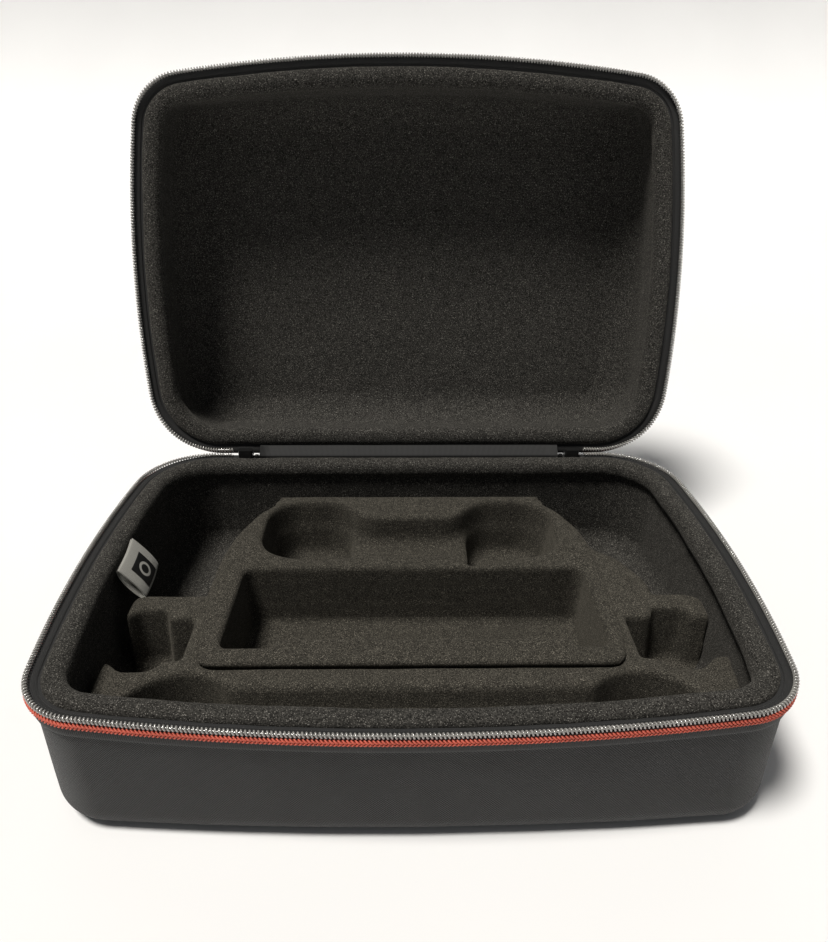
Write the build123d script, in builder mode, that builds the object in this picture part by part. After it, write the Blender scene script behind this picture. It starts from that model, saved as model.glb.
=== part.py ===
"""Zip-up hard carry case, standing open: a deep moulded base with a fitted insert and a lift-out
tray, and a shallower lid that hinges on a fabric strip along the back.

Frame: origin on the floor at the middle of the base, +X to the right, +Y to the hinge, +Z up.
The lid is drawn as a second shallow tub in its own plane, so both halves share their functions.
"""

import math
import os

from build123d import *

# Plan outline of the rim, mm
HALF_WIDTH = 170.0
CORNER_HALF_WIDTH = 160.8
FRONT_Y = -119.6
FRONT_CORNER_Y = -105.8
FLOOR_CORNER_Y = -113.5
BACK_Y = 120.0
FRONT_RADIUS = 32.4
BACK_RADIUS = 44.7

# Heights of the base, and of the lid measured from its outer face
BASE_WALL_TOP = 64.0
LID_WALL_TOP = 52.7
PARTING_GAP = 3.6
EDGE_RADIUS = 12.0
DRAFT = 2.0

# Layers of the wall, as insets from the rim outline
COVER_INSET = 2.5
COVER = 0.8
SHELL = 4.0
PADDING = 6.0
LINING = 1.2
SHELL_INSET = COVER_INSET + COVER
PADDING_INSET = SHELL_INSET + SHELL
LINING_INSET = PADDING_INSET + PADDING
CAVITY_INSET = LINING_INSET + LINING

# The rolled lip of the lining, the zip and the piping
LIP_OUTER_INSET = 6.0
LIP_INNER_INSET = 16.0
LIP_BELOW = 7.0
LIP_ABOVE = 3.2
LIP_ROUND = 3.0
BAND_LOW = 7.4
BAND_HIGH = 1.8
BAND_INSET = 0.8
TAPE = 0.7
TAPE_OUTER_INSET = 2.5
TAPE_INNER_INSET = 5.8
COIL_RADIUS = 1.35
COIL_INSET = 3.0
PIPING_RADIUS = 1.1
PIPING_INSET = 1.3
PIPING_DROP = 0.6

# The fabric hinge
OPEN_ANGLE = 105.4
HINGE_Y = 118.1
HINGE_Z = BASE_WALL_TOP + PARTING_GAP
HINGE_HALF_LENGTH = 97.0
ZIP_START = 112.5
HINGE_LEAF = 13.0
HINGE_CLOTH = 1.0
FOLD_HALF = 2.2
CLOSED_HEIGHT = HINGE_Z + PARTING_GAP + LID_WALL_TOP

# Zip sliders, stops and pulls
SLIDER_LENGTH = 9.0
SLIDER_X = 106.2
SLIDER_FRONT_Y = 114.2
SLIDER_BACK_Y = 118.6
SLIDER_TOP = 70.2
SLIDER_CORNER = 1.2
STOP_X = 99.0
STOP_FRONT_Y = 114.6
STOP_BACK_Y = 117.4
STOP_HALF_LENGTH = 1.2
STOP_HEIGHT = 1.6
STOP_CORNER = 0.6
BRIDGE_HALF = 3.8
PIVOT_Y = 120.4
PIVOT_Z = 65.4
PIVOT_RADIUS = 0.6
PIVOT_CLEARANCE = 0.05
PULL_LENGTH = 28.0
PULL_WIDTH = 6.0
PULL_THICKNESS = 1.6
GRIP_COAT = 0.9
PULL_GRIP_LENGTH = 20.0

# The glued insert and its pockets
FLOOR = COVER + SHELL + LINING
INSERT_TOP = 43.5
INSERT_FLOOR = 7.5
INSERT_CLEARANCE = 0.3
ARM_BACK_Y = -0.5
INSERT_LEFT_X = -146.5
INSERT_RIGHT_X = 154.5
LOBE_X = 130.0
BRIDGE_X = 110.0
POCKET_FLOOR = 9.0
CHANNEL_FLOOR = 26.0
CHANNEL_BACK_Y = -69.0
ARCH_X = 105.0
ARCH_Y = -88.0
ARCH_RADIUS = 28.5
ARCH_FLOOR = 12.0

# The lift-out tray
TRAY_SEAT = 3.2
TRAY_GAP = 0.4
TRAY_FLANGE = 3.0
TRAY_FRONT_Y = -57.5
TRAY_BACK_Y = 96.2
TRAY_BOTTOM = 8.0
TRAY_FLOOR = 9.5
SADDLE_FLOOR = 28.0
TRAY_TOP = INSERT_TOP + TRAY_GAP + TRAY_FLANGE
DOCK_FRONT_Y = -45.5
DOCK_BACK_Y = 18.6
DOCK_STEP = 6.0
FINGER_X = 40.0

# The label on the left wall
LABEL_Y = 10.0
LABEL_TOP = 64.0
LABEL_WIDTH = 26.0
LABEL_DROP = 21.0
LABEL_THICKNESS = 1.0
LABEL_SQUARE = 14.0
LABEL_LEAN = math.radians(20)

# The carry handle on the lid
HANDLE_HALF_LENGTH = 62.0
HANDLE_RISE = 21.0
HANDLE_WIDTH = 24.0
STRAP = 2.4
STRAP_BEND = 9.0
GRIP_HALF_LENGTH = 28.0
GRIP_WALL = 3.0
PATCH = 1.6
PATCH_LENGTH = 22.0
RIVET_RADIUS = 3.4
RIVET_SHANK_RADIUS = 1.6
RIVET_HEAD = 1.4
RIVET_BITE = 3.0
RIVET_SPACING = 12.0


def opened(y, z):
    """Where a point of the closed lid stands once the lid is open."""
    turn = math.radians(OPEN_ANGLE)
    dy = y - HINGE_Y
    dz = z - HINGE_Z
    new_y = HINGE_Y + dy * math.cos(turn) + dz * math.sin(turn)
    new_z = HINGE_Z - dy * math.sin(turn) + dz * math.cos(turn)
    return (new_y, new_z)


lid_origin = opened(0, CLOSED_HEIGHT)
lid_out = math.radians(OPEN_ANGLE)
BASE = Plane.XY
LID = Plane(
    origin=(0, lid_origin[0], lid_origin[1]),
    x_dir=(-1, 0, 0),
    z_dir=(0, -math.sin(lid_out), -math.cos(lid_out)),
)


def bow_radius(half_chord, bulge):
    """Radius of the arc that bows out by bulge over its chord."""
    return (half_chord**2 + bulge**2) / (2 * bulge)


def outline(inset, rise=1):
    """The plan outline, drawn in by inset: bowed front and sides and a straight back. The front's bow
    flattens from the rim, at rise 1, to the floor, at rise 0."""
    side_y = (FRONT_CORNER_Y + BACK_Y) / 2
    corner_y = FLOOR_CORNER_Y + (FRONT_CORNER_Y - FLOOR_CORNER_Y) * rise
    front_bow = bow_radius(CORNER_HALF_WIDTH, corner_y - FRONT_Y)
    side_bow = bow_radius(BACK_Y - side_y, HALF_WIDTH - CORNER_HALF_WIDTH)
    with BuildSketch(mode=Mode.PRIVATE) as plan:
        with Locations((0, BACK_Y - inset - HALF_WIDTH)):
            Rectangle(4 * HALF_WIDTH, 2 * HALF_WIDTH)
        with Locations((0, FRONT_Y + front_bow)):
            Circle(front_bow - inset, mode=Mode.INTERSECT)
        with Locations((HALF_WIDTH - side_bow, side_y)):
            Circle(side_bow - inset, mode=Mode.INTERSECT)
        with Locations((side_bow - HALF_WIDTH, side_y)):
            Circle(side_bow - inset, mode=Mode.INTERSECT)
        fillet(plan.vertices().group_by(Axis.Y)[-1], BACK_RADIUS - inset)
        fillet(plan.vertices().group_by(Axis.Y)[0], FRONT_RADIUS - inset)
    return plan.sketch


def tub(frame, wall_top, inset, floor):
    """Solid that fills one half of the case inside the given inset, above the given floor."""
    with BuildPart(mode=Mode.PRIVATE) as body:
        for height in (floor, wall_top):
            with BuildSketch(frame.offset(height)):
                rise = height / wall_top
                add(outline(inset + DRAFT * (1 - rise), rise))
        loft(ruled=True)
        floor_face = body.faces().sort_by(Axis(frame.origin, frame.z_dir))[0]
        fillet(floor_face.edges(), EDGE_RADIUS - floor)
    return body.part


def ring(frame, outer, inner, low, high):
    """Flat ring that follows the rim, between two insets and two heights."""
    with BuildPart(mode=Mode.PRIVATE) as body:
        with BuildSketch(frame.offset(low)):
            add(outline(outer))
            add(outline(inner), mode=Mode.SUBTRACT)
        extrude(amount=high - low)
    return body.part


def rim_cord(frame, inset, radius, height):
    """Round cord that follows the rim."""
    path = outline(inset).face().outer_wire()
    with BuildPart(mode=Mode.PRIVATE) as body:
        placed = frame.offset(height).from_local_coords(path)
        with BuildSketch(Plane(origin=placed @ 0, z_dir=placed % 0)):
            Circle(radius)
        sweep(path=placed)
    return body.part


def hinge_gap(frame, half_length, low, high):
    """Block that clears the hinge's stretch of the back rim."""
    with BuildPart(mode=Mode.PRIVATE) as body:
        with BuildSketch(frame.offset(low)):
            with Locations((0, BACK_Y)):
                Rectangle(2 * half_length, 40)
        extrude(amount=high - low)
    return body.part


def rim_parts(frame, wall_top):
    """The layers and trim that both halves share, as plain solids by name."""
    under_lip = wall_top - LIP_BELOW
    above_wall = wall_top + PARTING_GAP
    foam_floor = COVER + SHELL
    whole_plan = (-HALF_WIDTH, HALF_WIDTH, -HALF_WIDTH, HALF_WIDTH)
    lip_start = PADDING_INSET + DRAFT * LIP_BELOW / wall_top
    return {
        "outside": tub(frame, wall_top, COVER_INSET, 0),
        "shell": tub(frame, wall_top, SHELL_INSET, COVER),
        "padding": tub(frame, wall_top, PADDING_INSET, foam_floor),
        "lining": tub(frame, wall_top, LINING_INSET, foam_floor),
        "cavity": tub(frame, wall_top, CAVITY_INSET, FLOOR),
        "lip_space": block(frame, whole_plan, under_lip, above_wall),
        "lip": ring(frame, lip_start, LIP_INNER_INSET, under_lip, wall_top),
        "lip_crown": ring(frame, LIP_OUTER_INSET, LIP_INNER_INSET, wall_top, wall_top + LIP_ABOVE),
        "band": ring(frame, BAND_INSET, COVER_INSET, wall_top - BAND_LOW, wall_top - BAND_HIGH),
        "tape": ring(frame, TAPE_OUTER_INSET, TAPE_INNER_INSET, wall_top, wall_top + TAPE),
        "coil": rim_cord(frame, COIL_INSET, COIL_RADIUS, wall_top + TAPE + COIL_RADIUS),
        "zip_gap": hinge_gap(frame, ZIP_START, wall_top - 15, above_wall),
        "hinge_gap": hinge_gap(frame, STOP_X - 1.6, wall_top - 15, above_wall),
    }


def block(frame, limits, low, high, corner=0):
    """Upright block with plan limits (x low, x high, y low, y high), between two heights."""
    x_low, x_high, y_low, y_high = limits
    with BuildPart(mode=Mode.PRIVATE) as body:
        with BuildSketch(frame.offset(low)):
            with Locations(((x_low + x_high) / 2, (y_low + y_high) / 2)):
                Rectangle(x_high - x_low, y_high - y_low)
        extrude(amount=high - low)
        if corner:
            upright = Axis(frame.origin, frame.z_dir)
            fillet(body.edges().filter_by(upright), corner)
    return body.part


def tray_outline(grow):
    """Plan of the lift-out tray: straight front, bowed sides and a tab at the back."""
    with BuildSketch(mode=Mode.PRIVATE) as plan:
        with BuildLine():
            front = Line((-101.5, TRAY_FRONT_Y), (101.5, TRAY_FRONT_Y))
            right = ThreePointArc(front @ 1, (105.8, 4), (101, 56))
            shoulder = ThreePointArc(right @ 1, (92.5, 76), (81.5, 89))
            tab = Line(shoulder @ 1, (83, TRAY_BACK_Y))
            back = Line(tab @ 1, (-83, TRAY_BACK_Y))
            left_tab = Line(back @ 1, (-81.5, 89))
            left_shoulder = ThreePointArc(left_tab @ 1, (-92.5, 76), (-101, 56))
            ThreePointArc(left_shoulder @ 1, (-105.8, 4), front @ 0)
        make_face()
        fillet(plan.vertices().group_by(Axis.Y)[0], 10)
        if grow:
            offset(amount=grow, mode=Mode.REPLACE)
    return plan.sketch


# Base walls: outer cloth, moulded shell, padding and fleece lining
base = rim_parts(BASE, BASE_WALL_TOP)

with BuildPart() as base_cover:
    add(base["outside"])
    add(base["shell"], mode=Mode.SUBTRACT)
base_cover.part.label = "base_cover"

with BuildPart() as base_shell:
    add(base["shell"])
    add(base["padding"], mode=Mode.SUBTRACT)
base_shell.part.label = "base_shell"

with BuildPart() as base_padding:
    add(base["padding"])
    add(base["lining"], mode=Mode.SUBTRACT)
    add(base["lip_space"], mode=Mode.SUBTRACT)
base_padding.part.label = "base_padding"

with BuildPart() as base_lining:
    add(base["lining"])
    add(base["cavity"], mode=Mode.SUBTRACT)
    add(base["lip_space"], mode=Mode.SUBTRACT)
    add(base["lip"])
    add(base["lip_crown"])
    fillet(base_lining.faces().sort_by(Axis.Z)[-1].edges(), LIP_ROUND)
base_lining.part.label = "base_lining"

# Trim round the base's rim, open along the hinge
with BuildPart() as base_binding:
    add(base["band"])
    add(base["outside"], mode=Mode.SUBTRACT)
    add(base["zip_gap"], mode=Mode.SUBTRACT)
base_binding.part.label = "base_binding"

with BuildPart() as base_zip_tape:
    add(base["tape"])
    add(base["hinge_gap"], mode=Mode.SUBTRACT)
base_zip_tape.part.label = "base_zip_tape"

with BuildPart() as base_zip_coil:
    add(base["coil"])
    add(base["zip_gap"], mode=Mode.SUBTRACT)
base_zip_coil.part.label = "base_zip_coil"

with BuildPart() as base_piping:
    add(rim_cord(BASE, PIPING_INSET, PIPING_RADIUS, BASE_WALL_TOP - PIPING_DROP))
    add(base["zip_gap"], mode=Mode.SUBTRACT)
base_piping.part.label = "base_piping"

# Carry handle on the lid's outer face: its shared profile, and the rivets that hold it
HANDLE = Plane(origin=LID.origin, x_dir=LID.x_dir, z_dir=LID.y_dir)
strap_foot = PATCH + STRAP / 2
patch_centre = HANDLE_HALF_LENGTH + PATCH_LENGTH / 2
rivet_top = PATCH + STRAP

with BuildPart() as rivet_shanks:
    with BuildSketch(LID.offset(-rivet_top)):
        with Locations((-patch_centre, 0), (patch_centre, 0)):
            with GridLocations(0, RIVET_SPACING, 1, 2):
                Circle(RIVET_SHANK_RADIUS)
    extrude(amount=rivet_top + COVER + RIVET_BITE)

with BuildPart() as handle_rivets:
    add(rivet_shanks.part)
    with BuildSketch(LID.offset(-rivet_top)):
        with Locations((-patch_centre, 0), (patch_centre, 0)):
            with GridLocations(0, RIVET_SPACING, 1, 2):
                Circle(RIVET_RADIUS)
    extrude(amount=-RIVET_HEAD)
    outer_faces = handle_rivets.faces().sort_by(Axis(LID.origin, LID.z_dir))[:4]
    fillet(outer_faces.edges(), RIVET_HEAD * 0.6)
handle_rivets.part.label = "handle_rivets"

with BuildPart() as handle_strap:
    with BuildSketch(HANDLE):
        with BuildLine():
            FilletPolyline(
                (-HANDLE_HALF_LENGTH - PATCH_LENGTH, strap_foot),
                (-HANDLE_HALF_LENGTH, strap_foot),
                (-GRIP_HALF_LENGTH - 6, HANDLE_RISE),
                (GRIP_HALF_LENGTH + 6, HANDLE_RISE),
                (HANDLE_HALF_LENGTH, strap_foot),
                (HANDLE_HALF_LENGTH + PATCH_LENGTH, strap_foot),
                radius=STRAP_BEND,
            )
        trace(line_width=STRAP)
    extrude(amount=HANDLE_WIDTH / 2, both=True)
    add(rivet_shanks.part, mode=Mode.SUBTRACT)
handle_strap.part.label = "handle_strap"

with BuildPart() as handle_grip:
    with BuildSketch(HANDLE):
        with Locations((0, HANDLE_RISE)):
            Rectangle(2 * GRIP_HALF_LENGTH, STRAP + 2 * GRIP_WALL)
    extrude(amount=HANDLE_WIDTH / 2 + GRIP_WALL, both=True)
    fillet(handle_grip.edges().filter_by(Axis.X), GRIP_WALL * 0.9)
    add(handle_strap.part, mode=Mode.SUBTRACT)
handle_grip.part.label = "handle_grip"

handle_patches = []
for side, name in ((1, "left"), (-1, "right")):
    with BuildPart() as patch:
        with BuildSketch(LID.offset(-PATCH)):
            with Locations((side * patch_centre, 0)):
                RectangleRounded(PATCH_LENGTH + 8, HANDLE_WIDTH + 8, 5)
        extrude(amount=PATCH)
        add(rivet_shanks.part, mode=Mode.SUBTRACT)
    patch.part.label = f"handle_patch_{name}"
    handle_patches.append(patch)

# Lid: the same layers in a shallower tub
lid = rim_parts(LID, LID_WALL_TOP)

with BuildPart() as lid_cover:
    add(lid["outside"])
    add(lid["shell"], mode=Mode.SUBTRACT)
    add(rivet_shanks.part, mode=Mode.SUBTRACT)
lid_cover.part.label = "lid_cover"

with BuildPart() as lid_shell:
    add(lid["shell"])
    add(lid["padding"], mode=Mode.SUBTRACT)
    add(rivet_shanks.part, mode=Mode.SUBTRACT)
lid_shell.part.label = "lid_shell"

with BuildPart() as lid_padding:
    add(lid["padding"])
    add(lid["lining"], mode=Mode.SUBTRACT)
    add(lid["lip_space"], mode=Mode.SUBTRACT)
lid_padding.part.label = "lid_padding"

with BuildPart() as lid_lining:
    add(lid["lining"])
    add(lid["cavity"], mode=Mode.SUBTRACT)
    add(lid["lip_space"], mode=Mode.SUBTRACT)
    add(lid["lip"])
    add(lid["lip_crown"])
    fillet(lid_lining.faces().sort_by(Axis(LID.origin, LID.z_dir))[-1].edges(), LIP_ROUND)
lid_lining.part.label = "lid_lining"

with BuildPart() as lid_binding:
    add(lid["band"])
    add(lid["outside"], mode=Mode.SUBTRACT)
    add(lid["zip_gap"], mode=Mode.SUBTRACT)
lid_binding.part.label = "lid_binding"

with BuildPart() as lid_zip_tape:
    add(lid["tape"])
    add(lid["zip_gap"], mode=Mode.SUBTRACT)
lid_zip_tape.part.label = "lid_zip_tape"

with BuildPart() as lid_zip_coil:
    add(lid["coil"])
    add(lid["zip_gap"], mode=Mode.SUBTRACT)
lid_zip_coil.part.label = "lid_zip_coil"

# The cloth hinge: an outer strip that bends at the pivot and an inner one that goes taut
strip_y = BACK_Y - COVER_INSET + HINGE_CLOTH / 2 + 0.1
inner_y = BACK_Y - LIP_OUTER_INSET + HINGE_CLOTH / 2 + 0.1
inner_low = BASE_WALL_TOP + 0.1
inner_bend = BASE_WALL_TOP + 2.6
SIDE = Plane(origin=(-HINGE_HALF_LENGTH, 0, 0), x_dir=(0, 1, 0), z_dir=(1, 0, 0))

with BuildPart() as hinge_outer_strip:
    with BuildSketch(SIDE):
        with BuildLine():
            Polyline(
                (strip_y, HINGE_Z - FOLD_HALF - HINGE_LEAF),
                (strip_y, HINGE_Z - FOLD_HALF),
                opened(strip_y, HINGE_Z + FOLD_HALF),
                opened(strip_y, HINGE_Z + FOLD_HALF + HINGE_LEAF),
            )
        trace(line_width=HINGE_CLOTH)
    extrude(amount=2 * HINGE_HALF_LENGTH)
hinge_outer_strip.part.label = "hinge_outer_strip"

with BuildPart() as hinge_inner_strip:
    with BuildSketch(SIDE):
        with BuildLine():
            Polyline(
                (inner_y, inner_low),
                (inner_y, inner_bend),
                opened(inner_y, 2 * HINGE_Z - inner_bend),
                opened(inner_y, 2 * HINGE_Z - inner_low),
            )
        trace(line_width=HINGE_CLOTH)
    extrude(amount=2 * HINGE_HALF_LENGTH)
hinge_inner_strip.part.label = "hinge_inner_strip"

# A zip slider with its pull at each end of the zip
zip_pieces = []
for side, name in ((-1, "left"), (1, "right")):
    centre_x = side * SLIDER_X
    half = SLIDER_LENGTH / 2
    slider_low = BASE_WALL_TOP + TAPE

    with BuildPart() as slider:
        slider_plan = (centre_x - half, centre_x + half, SLIDER_FRONT_Y, SLIDER_BACK_Y)
        add(block(BASE, slider_plan, slider_low, SLIDER_TOP, SLIDER_CORNER))
        for wing in (-1, 1):
            wing_x = centre_x + wing * BRIDGE_HALF
            wing_plan = (wing_x - 0.6, wing_x + 0.6, SLIDER_BACK_Y - 0.2, PIVOT_Y + 1)
            add(block(BASE, wing_plan, slider_low, PIVOT_Z + 1.3))
        with BuildSketch(Plane.YZ.offset(centre_x - BRIDGE_HALF)):
            with Locations((PIVOT_Y, PIVOT_Z)):
                Circle(PIVOT_RADIUS)
        extrude(amount=2 * BRIDGE_HALF)
    slider.part.label = f"slider_{name}"

    with BuildPart() as pull:
        half_width = PULL_WIDTH / 2
        half_thick = PULL_THICKNESS / 2
        link_plan = (centre_x - half_width, centre_x + half_width, PIVOT_Y - half_thick, PIVOT_Y + half_thick)
        add(block(BASE, link_plan, PIVOT_Z - PULL_LENGTH, PIVOT_Z + PIVOT_RADIUS + 0.7))
        with BuildSketch(Plane.YZ.offset(centre_x - PULL_WIDTH)):
            with Locations((PIVOT_Y, PIVOT_Z)):
                Circle(PIVOT_RADIUS + PIVOT_CLEARANCE)
        extrude(amount=2 * PULL_WIDTH, mode=Mode.SUBTRACT)
    pull.part.label = f"pull_{name}"

    with BuildPart() as pull_grip:
        half_grip = PULL_WIDTH / 2 + GRIP_COAT
        thick_grip = PULL_THICKNESS / 2 + GRIP_COAT
        grip_plan = (centre_x - half_grip, centre_x + half_grip, PIVOT_Y - thick_grip, PIVOT_Y + thick_grip)
        grip_low = PIVOT_Z - PULL_LENGTH - GRIP_COAT
        add(block(BASE, grip_plan, grip_low, grip_low + PULL_GRIP_LENGTH, 0.8))
        add(pull.part, mode=Mode.SUBTRACT)
    pull_grip.part.label = f"pull_grip_{name}"

    with BuildPart() as stop:
        stop_x = side * STOP_X
        stop_plan = (stop_x - STOP_HALF_LENGTH, stop_x + STOP_HALF_LENGTH, STOP_FRONT_Y, STOP_BACK_Y)
        add(block(BASE, stop_plan, slider_low, slider_low + STOP_HEIGHT, STOP_CORNER))
    stop.part.label = f"zip_stop_{name}"
    zip_pieces += [slider, pull, pull_grip, stop]

# Glued insert: a block that fills the front of the base, with a rim for the tray and its pockets
with BuildPart() as base_insert:
    with BuildSketch(BASE.offset(FLOOR)) as insert_plan:
        with BuildLine():
            Polyline(
                (INSERT_LEFT_X, FRONT_Y),
                (INSERT_RIGHT_X, FRONT_Y),
                (INSERT_RIGHT_X, ARM_BACK_Y + 5),
                (INSERT_RIGHT_X - 4, ARM_BACK_Y),
                (INSERT_LEFT_X, ARM_BACK_Y),
                close=True,
            )
        make_face()
        add(tray_outline(TRAY_SEAT))
        with BuildLine():
            lobe = ThreePointArc((100, 47), (123, 25), (LOBE_X, ARM_BACK_Y - 1))
            Polyline(lobe @ 1, (100, ARM_BACK_Y - 1), lobe @ 0)
        make_face()
    extrude(amount=INSERT_TOP - FLOOR)
    with BuildSketch(BASE.offset(INSERT_FLOOR)):
        add(tray_outline(-TRAY_SEAT + 1))
    extrude(amount=INSERT_TOP, mode=Mode.SUBTRACT)
    for side in (-1, 1):
        with BuildSketch(BASE.offset(POCKET_FLOOR)):
            with BuildLine():
                inner = Line((side * BRIDGE_X, -50.3), (side * BRIDGE_X, -19.6))
                notch = Polyline(
                    inner @ 1,
                    (side * 124, -19.6),
                    (side * 127, -12.2),
                    (side * 141, -12.6),
                    (side * 146, -18),
                    (side * HALF_WIDTH, -18),
                    (side * HALF_WIDTH, -50.3),
                    (side * 144, -50.3),
                )
                ThreePointArc(notch @ 1, (side * 130, -57.5), (side * 116.5, -50.3))
                Line((side * 116.5, -50.3), inner @ 0)
            make_face()
        extrude(amount=INSERT_TOP, mode=Mode.SUBTRACT)
        with BuildSketch(BASE.offset(ARCH_FLOOR)):
            with Locations((side * ARCH_X, ARCH_Y)):
                Circle(ARCH_RADIUS)
        extrude(amount=INSERT_TOP, mode=Mode.SUBTRACT)
    with BuildSketch(BASE.offset(CHANNEL_FLOOR)):
        with Locations((0, (CHANNEL_BACK_Y + FRONT_Y) / 2)):
            Rectangle(2 * ARCH_X, CHANNEL_BACK_Y - FRONT_Y)
    extrude(amount=INSERT_TOP, mode=Mode.SUBTRACT)
    add(tub(BASE, BASE_WALL_TOP, CAVITY_INSET + INSERT_CLEARANCE, FLOOR), mode=Mode.INTERSECT)
base_insert.part.label = "base_insert"

# Lift-out tray: a flange over a body with a long pocket and a double-lobed pocket behind it
with BuildPart() as upper_tray:
    with BuildSketch(BASE.offset(TRAY_TOP - TRAY_FLANGE)):
        add(tray_outline(0))
    extrude(amount=TRAY_FLANGE)
    with BuildSketch(BASE.offset(TRAY_BOTTOM)):
        add(tray_outline(-TRAY_SEAT))
    extrude(amount=TRAY_TOP - TRAY_FLANGE - TRAY_BOTTOM)
    with BuildSketch(BASE.offset(TRAY_FLOOR)):
        with BuildLine():
            Polyline(
                (-93, DOCK_FRONT_Y),
                (-67, DOCK_FRONT_Y),
                (-67, DOCK_FRONT_Y + DOCK_STEP),
                (78.5, DOCK_FRONT_Y + DOCK_STEP),
                (78.5, DOCK_FRONT_Y),
                (95, DOCK_FRONT_Y),
                (95, DOCK_BACK_Y),
                (-93, DOCK_BACK_Y),
                close=True,
            )
        make_face()
    extrude(amount=TRAY_TOP, mode=Mode.SUBTRACT)
    with BuildSketch(BASE.offset(SADDLE_FLOOR)):
        with Locations((0, 50)):
            Rectangle(120, 40)
    extrude(amount=TRAY_TOP, mode=Mode.SUBTRACT)
    with BuildSketch(BASE.offset(TRAY_FLOOR)):
        for side in (-1, 1):
            with Locations((side * 60, 60)):
                RectangleRounded(54, 60, 18)
        with Locations((FINGER_X, 35)):
            Circle(14)
    extrude(amount=TRAY_TOP, mode=Mode.SUBTRACT)
upper_tray.part.label = "upper_tray"

# Woven label sewn under the lip on the left wall, with a plain printed square
LABEL = Plane(
    origin=(-HALF_WIDTH + LIP_INNER_INSET, LABEL_Y, LABEL_TOP),
    x_dir=(0, 1, 0),
    z_dir=(math.cos(LABEL_LEAN), 0, math.sin(LABEL_LEAN)),
)

with BuildPart() as label_loop:
    with BuildSketch(LABEL):
        with Locations((0, -LABEL_DROP / 2)):
            Rectangle(LABEL_WIDTH, LABEL_DROP)
    extrude(amount=LABEL_THICKNESS)
label_loop.part.label = "label_loop"

with BuildPart() as label_print:
    with BuildSketch(LABEL.offset(LABEL_THICKNESS)):
        with Locations((0, -LABEL_DROP / 2)):
            Rectangle(LABEL_SQUARE, LABEL_SQUARE)
    extrude(amount=0.15)
label_print.part.label = "label_print"

pieces = [
    base_cover, base_shell, base_padding, base_lining, base_binding, base_zip_tape, base_zip_coil,
    base_piping, base_insert, upper_tray, label_loop, label_print, lid_cover, lid_shell, lid_padding,
    lid_lining, lid_binding, lid_zip_tape, lid_zip_coil, hinge_outer_strip, hinge_inner_strip,
    handle_strap, handle_grip, handle_rivets, *handle_patches, *zip_pieces,
]
os.makedirs("parts", exist_ok=True)
for piece in pieces:
    export_step(piece.part, f"parts/{piece.part.label}.step")
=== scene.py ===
"""A zip-up hard carry case standing open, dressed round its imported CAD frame: twill cover, fleece
lining, velvet moulded insert and tray, coil zip, red piping, label, hinge cloth and carry handle.

Lengths are in metres, in the frame's own axes. Both halves are drawn by the same functions, floor
down with their rim up, and half_frame() then stands the base as it is and turns the lid over.
"""

import itertools
import math

import bpy
import numpy as np
from mathutils import Matrix, Vector, noise


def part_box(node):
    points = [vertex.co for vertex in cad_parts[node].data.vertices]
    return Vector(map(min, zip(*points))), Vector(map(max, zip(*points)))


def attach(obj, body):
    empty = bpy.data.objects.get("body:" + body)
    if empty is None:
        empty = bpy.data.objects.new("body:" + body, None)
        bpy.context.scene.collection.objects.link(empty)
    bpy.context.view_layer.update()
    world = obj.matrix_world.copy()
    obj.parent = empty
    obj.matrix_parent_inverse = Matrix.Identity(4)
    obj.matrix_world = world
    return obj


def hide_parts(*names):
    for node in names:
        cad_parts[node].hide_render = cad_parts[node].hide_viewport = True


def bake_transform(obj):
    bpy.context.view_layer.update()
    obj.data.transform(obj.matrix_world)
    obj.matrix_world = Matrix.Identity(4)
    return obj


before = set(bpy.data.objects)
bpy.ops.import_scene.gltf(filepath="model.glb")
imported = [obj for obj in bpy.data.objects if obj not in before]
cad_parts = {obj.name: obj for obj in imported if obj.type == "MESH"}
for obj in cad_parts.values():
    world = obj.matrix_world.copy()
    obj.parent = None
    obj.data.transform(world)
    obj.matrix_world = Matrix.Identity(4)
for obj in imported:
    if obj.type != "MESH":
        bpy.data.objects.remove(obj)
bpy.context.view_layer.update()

MM = 0.001

# Plan outline of the rim, the same as the CAD's
HALF_WIDTH = 170.0 * MM
CORNER_HALF_WIDTH = 160.8 * MM
FRONT_Y = -119.6 * MM
FRONT_CORNER_Y = -105.8 * MM
FLOOR_CORNER_Y = -113.5 * MM
BACK_Y = 120.0 * MM
SIDE_Y = (FRONT_CORNER_Y + BACK_Y) / 2
FRONT_RADIUS = 32.4 * MM
BACK_RADIUS = 44.7 * MM
SMALLEST_RADIUS = 3 * MM

# Heights, and the wall's layers as insets from the rim outline
WALL_TOP = {"base": 64.0 * MM, "lid": 52.7 * MM}
PARTING_GAP = 3.6 * MM
DRAFT = 2.0 * MM
EDGE_RADIUS = 12.0 * MM
COVER_INSET = 2.5 * MM
COVER = 0.8 * MM
PADDING_INSET = 7.3 * MM
LINING_INSET = 13.3 * MM
CAVITY_INSET = 14.5 * MM
SHELL_FLOOR = 4.8 * MM
FLOOR = 6.0 * MM
LIP_BELOW = 7.0 * MM
TAPE = 0.7 * MM
COIL_INSET = 3.0 * MM
COIL_RADIUS = 1.35 * MM
COIL_OUTWARD = 2.3 * MM
ZIP_START = 112.5 * MM

# The hinge and the open lid
OPEN_ANGLE = math.radians(105.4)
HINGE_Y = 118.1 * MM
HINGE_Z = WALL_TOP["base"] + PARTING_GAP
CLOSED_HEIGHT = HINGE_Z + PARTING_GAP + WALL_TOP["lid"]
HINGE_HALF_LENGTH = 97.0 * MM

# Points along the right half of the outline: back line, back corner, side, front corner, front
SEGMENT_STEPS = (52, 46, 80, 40, 100)


# ---------------------------------------------------------------- geometry helpers


def bow_radius(half_chord, bulge):
    """Radius of the arc that bows out by bulge over its chord."""
    return (half_chord**2 + bulge**2) / (2 * bulge)


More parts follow.
